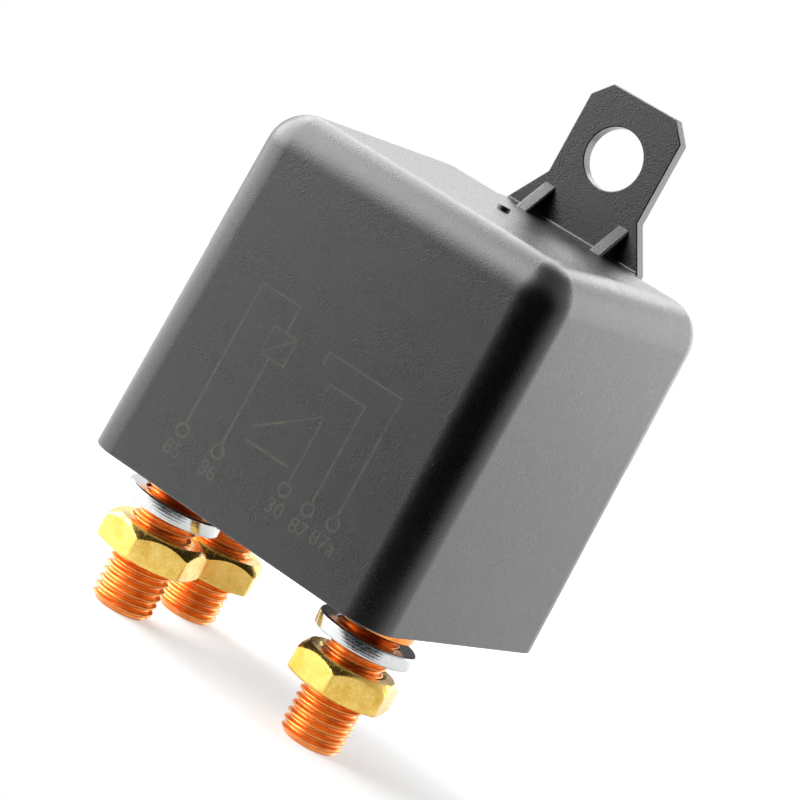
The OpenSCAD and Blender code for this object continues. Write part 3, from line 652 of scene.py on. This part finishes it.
copper = turned("turned_copper", (0.93, 0.36, 0.10, 1), (0.70, 0.21, 0.05, 1), 0.30, 0.0015, 0.3)
thread_pitch, thread_depth, thread_r, thread_sides, thread_rows = 1.0, 0.6, 4.0, 72, 10
crest_share, flank_share, seam_nudge, weld_within = 0.10, 0.80, 1e-4, 2e-6
stud_bevel, collar_r, collar_h, collar_edge, thread_fade = 0.8, 5.2, 2.0, 0.25, 0.8
shoulder_r, shoulder_h, neck_r = 4.4, 1.2, 3.0
peened_head = [(neck_r, 2.7), (3.9, 2.7), (3.75, 3.3), (3.3, 3.9)]
collar_z = mouth_z - collar_h
stud_rings = [
    (thread_r, collar_z),
    (collar_r - collar_edge, collar_z),
    (collar_r, collar_z + collar_edge),
    (collar_r, mouth_z),
    (thread_r, mouth_z),
    (thread_r, seat_z),
    (shoulder_r, seat_z),
    (shoulder_r, seat_z + shoulder_h),
    (neck_r, seat_z + shoulder_h),
]
stud_rings += [(r, seat_z + up) for r, up in peened_head]

thread = Maker(
    "rolled_thread",
    {
        "Radius": "Float",
        "Depth": "Float",
        "Pitch": "Float",
        "Length": "Float",
        "Bevel": "Float",
        "Fade": "Float",
        "Sides": "Int",
        "Rows": "Int",
        "Material": "Material",
    },
)
turns = (thread.value("Length") / thread.value("Pitch")).math("CEIL") + 1
sheet = thread.add(
    "GeometryNodeMeshGrid",
    {},
    {
        "Size X": 1.0,
        "Size Y": 1.0,
        "Vertices X": turns * thread.value("Rows") + 1,
        "Vertices Y": thread.value("Sides") + 1,
    },
)
spot = thread.add("GeometryNodeInputPosition", {}, {})
spot = thread.add("ShaderNodeSeparateXYZ", {}, {"Vector": spot})
along = (spot + 0.5) * turns
round_once = spot.beside("Y") + 0.5
rise = (along + round_once - 1) * thread.value("Pitch")
rise = rise.math("MAXIMUM", 0.0).math("MINIMUM", thread.value("Length"))
wave = ((along + seam_nudge).math("FRACT") * 2 - 1).math("ABSOLUTE")
slope = ((wave - crest_share) / flank_share).clamp()
groove = 1 - slope * slope * (3 - 2 * slope)
fade = ((thread.value("Length") - rise) / thread.value("Fade")).clamp()
reach = thread.value("Radius") - thread.value("Depth") * groove * fade
reach = reach.math("MINIMUM", thread.value("Radius") - thread.value("Bevel") + rise)
angle = round_once * (2 * math.pi)
place = thread.add(
    "ShaderNodeCombineXYZ",
    {},
    {"X": reach * angle.math("COSINE"), "Y": reach * angle.math("SINE"), "Z": rise},
)
skin = thread.add("GeometryNodeSetPosition", {}, {"Geometry": sheet, "Position": place})
both = thread.add("GeometryNodeJoinGeometry", {}, {0: skin})
thread.plug(both.socket.node, {0: thread.given})
welded = {"Geometry": both, "Distance": weld_within}
thread.end(thread.add("GeometryNodeMergeByDistance", {}, welded))

terminals = ("common", "open", "closed")
origin = Vector((0, 0))
stud_turns = round_turns(thread_sides)
for terminal in terminals:
    low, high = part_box("stud_" + terminal)
    centre = Vector(((low.x + high.x) / 2, (low.y + high.y) / 2, 0))
    circles = [[off_axis(origin, r, turn, z) for turn in stud_turns] for r, z in stud_rings]
    stud = loft("turned_stud_" + terminal, circles)
    mesh = bmesh.new()
    mesh.from_mesh(stud.data)
    bottom = min(mesh.faces, key=lambda face: face.calc_center_median().z)
    bmesh.ops.delete(mesh, geom=[bottom], context="FACES_ONLY")
    end_r = thread_r - stud_bevel
    end = [mesh.verts.new(off_axis(origin, end_r, turn, 0)) for turn in stud_turns]
    mesh.faces.new(reversed(end))
    mesh.to_mesh(stud.data)
    mesh.free()
    stud = thread.run(
        stud,
        {
            "Radius": thread_r * MM,
            "Depth": thread_depth * MM,
            "Pitch": thread_pitch * MM,
            "Length": collar_z * MM,
            "Bevel": stud_bevel * MM,
            "Fade": thread_fade * MM,
            "Sides": thread_sides,
            "Rows": thread_rows,
            "Material": copper,
        },
    )
    stud.data.transform(Matrix.Translation(centre))
    stud = weighted(remade(stud), sharp_above=50)
    dress(stud, copper, "housing", "copper", "stud_" + terminal)


# Spring washers. Square wire, coiled once, cut on the slant, hardened and zinc plated; the edges
# keep the wire's small radius and the plating is bright where the coil was ground.
plated = turned("plated_washer", (0.56, 0.57, 0.57, 1), (0.50, 0.51, 0.51, 1), 0.14, 0.0012, 0.5)
washer_w, washer_edge, washer_steps, cut_w, cut_slant = 2.27, 0.28, 96, 0.9, math.radians(25)
for terminal in terminals:
    low, high = (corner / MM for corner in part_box("washer_" + terminal))
    centre = (low + high) / 2
    washer_t = high.z - low.z
    middle_r = (high.x - low.x) / 2 - washer_w / 2
    cut_half = cut_w / 2 / middle_r / math.cos(cut_slant)
    sections = []
    for step in range(washer_steps + 1):
        turn = math.pi / 2 + cut_half + (2 * math.pi - 2 * cut_half) * step / washer_steps
        section = []
        for corner in rounded_ring(washer_w / 2, washer_t / 2, washer_edge, 0, steps=4):
            out, up = corner.x / MM, corner.y / MM
            slant = -math.tan(cut_slant) * up / middle_r
            section.append(off_axis(centre, middle_r + out, turn + slant, centre.z + up))
        sections.append(section)
    washer = weighted(loft("spring_washer_" + terminal, sections))
    dress(washer, plated, terminal + "_washer", "washer_steel", "washer_" + terminal)


# Nuts. Thin brass hexagons, bevelled deeply on the side that is turned to the housing and slightly
# on the other; the flats are drawn smooth, and the bevels and the bore's chamfers are turned.
nut_brass = turned("nut_brass", (0.81, 0.56, 0.15, 1), (0.73, 0.43, 0.07, 1), 0.25, 0.0015, 0.15)
nut_half, bore_r, chamfer, face_r, nut_steps = 6.0, 4.05, 0.4, 5.6, 144
deep_bevel, slight_bevel = math.tan(math.radians(42)), math.tan(math.radians(16))
corner_share, rim, low_round, round_near, round_far = 0.985, 0.10, 0.28, 0.13, 0.5
low_lift = round_near - round_far * slight_bevel
nut_turns = {"common": 46, "open": 42, "closed": 54}
for terminal in terminals:
    low, high = (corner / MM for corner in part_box("nut_" + terminal))
    centre = (low + high) / 2
    tall = high.z - low.z
    sections = []
    for turn in round_turns(nut_steps):
        from_flat = turn % (math.pi / 3) - math.pi / 6
        widest_r = nut_half / math.cos(math.pi / 6) * corner_share
        edge_r = min(nut_half / math.cos(from_flat), widest_r)
        high_z = tall - (edge_r - face_r) * deep_bevel
        low_z = (edge_r - face_r) * slight_bevel
        profile = [
            (bore_r, chamfer),
            (bore_r, tall - chamfer),
            (bore_r + chamfer, tall),
            (face_r - rim, tall),
            (face_r, tall - rim / 4),
            (edge_r - rim, high_z + rim * deep_bevel),
            (edge_r, high_z - rim),
            (edge_r, low_z + low_round),
            (edge_r - low_round * round_near, low_z + low_round * round_far),
            (edge_r - low_round * round_far, low_z + low_round * low_lift),
            (edge_r - low_round, low_z - low_round * slight_bevel),
            (face_r - rim, 0),
            (bore_r + chamfer, 0),
        ]
        angle = turn + math.radians(nut_turns[terminal])
        sections.append([off_axis(centre, r, angle, low.z + up) for r, up in profile])
    nut = weighted(loft("hexagon_nut_" + terminal, sections, hoop=True), sharp_above=24)
    dress(nut, nut_brass, terminal + "_nut", "nut_brass", "nut_" + terminal)


# Coil blades. Two flat brass tongues, stamped and tin plated, pressed through slots in the base;
# their edges are a little rounded by the plating.
def rounded_copy(name, node, width):
    """A copy of a CAD node with its sharp edges rounded, as a barrelled or plated part has them."""
    mesh = bmesh.new()
    mesh.from_mesh(frame["nodes"][node].data)
    bmesh.ops.remove_doubles(mesh, verts=mesh.verts, dist=2e-6)
    bmesh.ops.dissolve_limit(mesh, angle_limit=math.radians(1), verts=mesh.verts, edges=mesh.edges)
    piece = finished(name, mesh)
    edges = piece.modifiers.new("edges", "BEVEL")
    edges.width = width * MM
    edges.segments = 2
    edges.limit_method = "ANGLE"
    edges.angle_limit = math.radians(30)
    return weighted(evaluated(piece))


tinned = turned("tinned_blade", (0.58, 0.55, 0.45, 1), (0.40, 0.37, 0.28, 1), 0.36, 0.002, 0.15)
for side in ("left", "right"):
    blade = rounded_copy("tinned_blade_" + side, "coil_blade_" + side, 0.1)
    dress(blade, tinned, "housing", "blade_brass", "coil_blade_" + side)


# Yoke and core. Soft iron, zinc plated: a strip folded into a foot and a leg, set on two pins of the
# base, and a turned core with a broad pole face, whose neck is staked into the foot.
iron = turned("plated_iron", (0.56, 0.56, 0.57, 1), (0.36, 0.36, 0.38, 1), 0.36, 0.006)
dress(rounded_copy("folded_yoke", "yoke", 0.15), iron, "housing", "soft_iron", "yoke")
dress(rounded_copy("pole_core", "core", 0.15), iron, "housing", "soft_iron", "core")


# Bobbin and winding. Natural nylon with flanges, full of enamelled copper wire laid turn by turn;
# the two ends of the wire are soldered to the posts of the coil blades.
nylon = moulded("natural_nylon", (0.72, 0.66, 0.52, 1), 0.45, 0.008, 0.5)
dress(rounded_copy("nylon_bobbin", "bobbin", 0.12), nylon, "housing", "bobbin_plastic", "bobbin")

enamel = Finish("wire_enamel", Metallic=0.85, Coat_Roughness=0.1)
tone = enamel.noise(0.7, 3)
enamel.set(
    Base_Color=enamel.mix(tone, (0.42, 0.13, 0.04, 1), (0.72, 0.30, 0.11, 1)),
    Roughness=0.22 + 0.2 * tone,
)
enamel.bump(enamel.noise(3.0, 2), 0.004)
low, high = (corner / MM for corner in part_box("winding"))
wire_w, spool_r, helix_points, pack_sides = 0.5, 4.65, 48, 64
layer_r = (high.x - low.x) / 2 - wire_w / 2
laid_h = high.z - low.z - wire_w
layer = Maker(
    "wound_layer",
    {"Radius": "Float", "Wire": "Float", "Height": "Float", "Turns": "Float", "Material": "Material"},
)
helix = layer.add(
    "GeometryNodeCurveSpiral",
    {},
    {
        "Resolution": helix_points,
        "Rotations": layer.value("Turns"),
        "Start Radius": layer.value("Radius"),
        "End Radius": layer.value("Radius"),
        "Height": layer.value("Height"),
    },
)
layer.end(layer.sweep(helix, layer.wire_section(layer.value("Wire") / 2)))
wire = layer.run(
    path_curve("wire", []),
    {
        "Radius": layer_r * MM,
        "Wire": wire_w * MM,
        "Height": laid_h * MM,
        "Turns": laid_h / wire_w,
        "Material": enamel.material,
    },
)
coil_centre = (low + high) / 2
wire.data.transform(Matrix.Translation(at(coil_centre.x, coil_centre.y, low.z + wire_w / 2)))
pack_profile = [(spool_r, low.z), (layer_r, low.z), (layer_r, high.z), (spool_r, high.z)]
pack_sections = [
    [off_axis(coil_centre, r, turn, z) for r, z in pack_profile] for turn in round_turns(pack_sides)
]
pack = loft("pack", pack_sections, hoop=True)
winding = weighted(joined("wound_coil", [pack, wire]), sharp_above=50)
dress(winding, enamel.material, "housing", "coil_wire", "winding")
paint(frame["nodes"]["coil_leads"], enamel.material)


# Armature group. A plated iron flap with an insulating carrier riveted to its end; the carrier holds
# the copper contact blade, whose tip has a silver contact on each side.
steel = turned("rivet_steel", (0.66, 0.66, 0.67, 1), (0.45, 0.45, 0.46, 1), 0.30, 0.004)
strip_copper = turned("strip_copper", (0.86, 0.42, 0.23, 1), (0.60, 0.24, 0.11, 1), 0.28, 0.003)
silver = turned("contact_silver", (0.86, 0.85, 0.81, 1), (0.60, 0.58, 0.53, 1), 0.26, 0.003)
for name, node, width, finish, slot in (
    ("rocking_armature", "armature", 0.12, iron, "soft_iron"),
    ("insulating_carrier", "contact_carrier", 0.15, nylon, "bobbin_plastic"),
    ("spring_blade", "contact_blade", 0.06, strip_copper, "busbar_copper"),
    ("double_contact", "moving_contact", 0.12, silver, "contact_silver"),
    ("carrier_rivets", "armature_rivets", 0.12, steel, "rivet_steel"),
    ("contact_blade_rivets", "blade_rivets", 0.12, steel, "rivet_steel"),
    ("return_spring_rivet", "spring_rivet", 0.12, steel, "rivet_steel"),
):
    dress(rounded_copy(name, node, width), finish, "rocker", slot, node)


# Busbars and fixed contacts. Copper strip, blanked and bent, each with a ring that its stud is
# peened over; the contacts are silver with domed faces, riveted to the strips.
for name, node, width, finish, slot in (
    ("common_strip", "common_busbar", 0.12, strip_copper, "busbar_copper"),
    ("open_strip", "open_busbar", 0.12, strip_copper, "busbar_copper"),
    ("closed_strip", "closed_busbar", 0.12, strip_copper, "busbar_copper"),
    ("open_silver", "open_contact", 0.1, silver, "contact_silver"),
    ("closed_silver", "closed_contact", 0.1, silver, "contact_silver"),
    ("yoke_rivet_pair", "yoke_rivets", 0.12, steel, "rivet_steel"),
):
    dress(rounded_copy(name, node, width), finish, "housing", slot, node)


# Return spring. Rolled bronze strip, riveted to the yoke's leg and to the armature, so that it bends
# over the pivot when the armature moves; here it is one fixed copy of the CAD spring.
bronze = turned("rolled_bronze", (0.70, 0.52, 0.26, 1), (0.48, 0.33, 0.15, 1), 0.30, 0.003)
rock = next(joint for joint in frame["joints"] if joint["name"] == "armature_rock")
spring = rounded_copy("bent_return_spring", "return_spring", 0.04)
paint(spring, bronze)
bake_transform(spring)
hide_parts("return_spring")


# Braid. Fine copper wires woven flat; one end is welded to the common busbar and the other to the lug
# of the contact blade, with a free arch between them that gives when the armature rocks.
braid_copper = turned("woven_copper", (0.80, 0.38, 0.20, 1), (0.50, 0.19, 0.08, 1), 0.34, 0.002)
low, high = (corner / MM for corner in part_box("braid"))
braid_t, strand_count, strand_r, braid_samples, arch_steps = 1.4, 18, 0.21, 160, 24
weave_length, weave_share, weld_h, pull = 5.0, 0.75, 5.0, 8.0
weld_end = Vector((high.x - braid_t / 2, low.z))
arch_start = Vector((weld_end.x, low.z + weld_h))
arch_end = Vector((-6.0, 53.16))
lug_end = Vector((-9.0, 53.38))
tilt = math.radians(rock["range_deg"][1])
middle_y = (low.y + high.y) / 2
half_w = (high.y - low.y) / 2 - strand_r
half_t = braid_t / 2 - strand_r


def arch(t):
    """A point of the arch between the two welds, as a curve with a pull at each end."""
    first = arch_start + Vector((0, pull))
    second = arch_end + Vector((math.cos(tilt), -math.sin(tilt))) * pull
    s = 1 - t
    return arch_start * s**3 + first * (3 * s * s * t) + second * (3 * s * t * t) + arch_end * t**3


line = [weld_end] + [arch(step / arch_steps) for step in range(arch_steps + 1)] + [lug_end]
lengths = [0.0]
for a, b in zip(line, line[1:]):
    lengths.append(lengths[-1] + (b - a).length)
strands = []
for strand in range(strand_count):
    hand = 1 if strand % 2 else -1
    points = []
    for sample in range(braid_samples + 1):
        run = lengths[-1] * sample / braid_samples
        k = min(max(i for i, length in enumerate(lengths) if length <= run + 1e-9), len(line) - 2)
        way = (line[k + 1] - line[k]).normalized()
        middle = line[k] + way * (run - lengths[k])
        phase = 2 * math.pi * (strand / strand_count + run / (2 * weave_length))
        out = half_t * weave_share * math.sin(phase) * hand
        across = half_w * math.cos(phase) * hand
        points.append(at(middle.x - way.y * out, middle_y + across, middle.y + way.x * out))
    strands.append(points)
cable = Maker("woven_strands", {"Strand": "Float", "Material": "Material"})
cable.end(cable.sweep(cable.given, cable.wire_section(cable.value("Strand"))))
braid = path_curve("woven_braid", strands)
braid = cable.run(braid, {"Strand": strand_r * MM, "Material": braid_copper})
braid.data.shade_smooth()
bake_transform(braid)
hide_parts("braid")


# Studio. A plain pale floor, which ends close in front of the relay, and an even white surround;
# soft boxes stand at the left, behind and at the right back, and the room is dark towards the front
# right.
floor_left, floor_right, floor_near, floor_far = -200, 200, -70, 340
corners = [
    at(floor_left, floor_near, 0),
    at(floor_right, floor_near, 0),
    at(floor_right, floor_far, 0),
    at(floor_left, floor_far, 0),
]
floor_mesh = bpy.data.meshes.new("floor")
floor_mesh.from_pydata(corners, [], [(0, 1, 2, 3)])
floor_mesh.transform(Matrix.Rotation(camera_azimuth, 4, "Z"))
floor = bpy.data.objects.new("floor", floor_mesh)
scene.collection.objects.link(floor)
paper = Finish("floor_paper", Roughness=0.9, Emission_Strength=1.0)


def looks(graph):
    """Whether a ray is the camera's, a reflection's or a clear surface's, as three numbers."""
    direct = graph.add("ShaderNodeLightPath", {}, {}, "Is Camera Ray")
    return direct, direct.beside("Is Glossy Ray"), direct.beside("Is Transmission Ray")


def grey(level):
    return (level, level, level, 1)


camera_ray, glossy_ray, clear_ray = looks(paper)
seen = (camera_ray + glossy_ray + clear_ray).clamp()
paper.set(
    Base_Color=paper.mix(paper.noise(0.02, 2), grey(0.58), grey(0.60)),
    Emission_Color=paper.mix(seen, grey(0), grey(0.5)),
)
floor.data.materials.append(paper.material)


def direction(azimuth, elevation):
    """A direction from the relay, given in degrees to the right of the camera and above the floor."""
    turn = math.radians(azimuth - 90) + camera_azimuth
    rise = math.radians(elevation)
    return Vector((math.cos(turn) * math.cos(rise), math.sin(turn) * math.cos(rise), math.sin(rise)))


world = bpy.data.worlds.new("surround")
world.use_nodes = True
scene.world = world
sky = Graph(world.node_tree)
camera_ray, glossy_ray, clear_ray = looks(sky)
facing = sky.add("ShaderNodeTexCoord", {}, {}, "Generated")
dark_way, dark_edge, dark_fade, dark_level = tuple(direction(12.5, -12)), 0.68, 0.38, 0.02
high_edge, high_fade, high_loss, room_light = 0.6, 0.3, 0.5, 0.28
towards_dark = sky.vector("DOT_PRODUCT", facing, dark_way, output="Value")
upward = sky.vector("DOT_PRODUCT", facing, (0, 0, 1), output="Value")
open_side = ((dark_edge - towards_dark) / dark_fade).clamp()
overhead = ((upward - high_edge) / high_fade).clamp()
mirrored = (dark_level + (1 - dark_level) * open_side) * (1 - high_loss * overhead)
plain = (camera_ray + clear_ray).clamp()
lit = (1 - plain) * (1 - glossy_ray)
strength = plain + glossy_ray * mirrored + room_light * lit
sky.plug(sky.tree.nodes["Background"], {"Color": grey(1), "Strength": strength})


light_aim = at(0, 0, 40)


def soft_box(name, azimuths, elevations, distance, brightness):
    """A rectangular soft box that faces the relay and fills a range of directions; its brightness is
    what a mirror would show of it."""
    light = bpy.data.lights.new(name, "AREA")
    light.shape = "RECTANGLE"
    rise = sum(elevations) / 2
    half_turn = math.radians(azimuths[1] - azimuths[0]) / 2
    half_rise = math.radians(elevations[1] - elevations[0]) / 2
    light.size = 2 * distance * math.tan(half_turn) * math.cos(math.radians(rise))
    light.size_y = 2 * distance * math.tan(half_rise)
    light.energy = brightness * math.pi * light.size * light.size_y
    box = bpy.data.objects.new(name, light)
    way = direction(sum(azimuths) / 2, rise)
    turned_to_relay = way.to_track_quat("Z", "Y").to_matrix().to_4x4()
    box.matrix_world = Matrix.Translation(light_aim + way * distance) @ turned_to_relay
    box.visible_camera = False
    scene.collection.objects.link(box)


soft_box("key_box", (-145, -55), (2, 66), 0.8, 5.6)
soft_box("left_low_box", (-140, -58), (-10, 1), 0.5, 2.0)
soft_box("back_box", (-205, -148), (18, 60), 0.8, 3.0)
soft_box("right_back_box", (112, 160), (-6, 28), 0.5, 1.9)
scene.view_settings.view_transform = "Standard"
